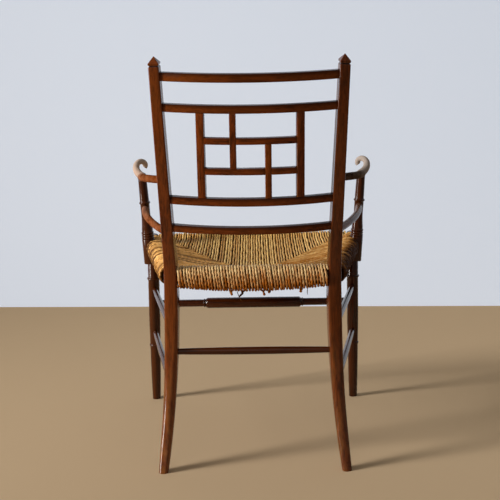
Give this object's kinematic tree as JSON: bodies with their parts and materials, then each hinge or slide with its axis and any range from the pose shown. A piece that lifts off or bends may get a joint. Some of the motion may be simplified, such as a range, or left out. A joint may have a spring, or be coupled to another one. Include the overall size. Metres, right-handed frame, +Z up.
{
  "type": "rush-seated elbow chair",
  "caption": "Wooden elbow chair with a raked lattice back, bowed rails, turned front legs, scrolled arms and a woven rush seat.",
  "frame": {"origin": "on the floor, under the middle of the chair's bounding box", "axes": "+Z up, +Y the way the sitter faces, +X the sitter's right"},
  "size_m": [0.5696, 0.503, 0.8636],
  "materials": {
    "wood": "waxed and polished, worn on the edges",
    "rush": "twisted rush, dry and matt",
    "screw": "dull steel"
  },
  "bodies": {
    "root": {"arm_left": "wood", "arm_right": "wood", "arm_screw_left": "screw", "arm_screw_right": "screw", "arm_support_left": "wood", "arm_support_right": "wood", "back_rail_bottom": "wood", "back_rail_crest": "wood", "back_rail_lower": "wood", "back_rail_upper": "wood", "front_leg_left": "wood", "front_leg_right": "wood", "front_stretcher": "wood", "lattice_bar_lower": "wood", "lattice_bar_upper": "wood", "lattice_short_lower": "wood", "lattice_short_upper": "wood", "lattice_stile_left": "wood", "lattice_stile_right": "wood", "rear_post_left": "wood", "rear_post_right": "wood", "rear_stretcher": "wood", "rush_seat": "rush", "seat_rail_front": "wood", "seat_rail_left": "wood", "seat_rail_rear": "wood", "seat_rail_right": "wood", "side_stretcher_lower_left": "wood", "side_stretcher_lower_right": "wood", "side_stretcher_upper_left": "wood", "side_stretcher_upper_right": "wood", "under_arm_rail_left": "wood", "under_arm_rail_right": "wood"}
  },
  "joints": []
}
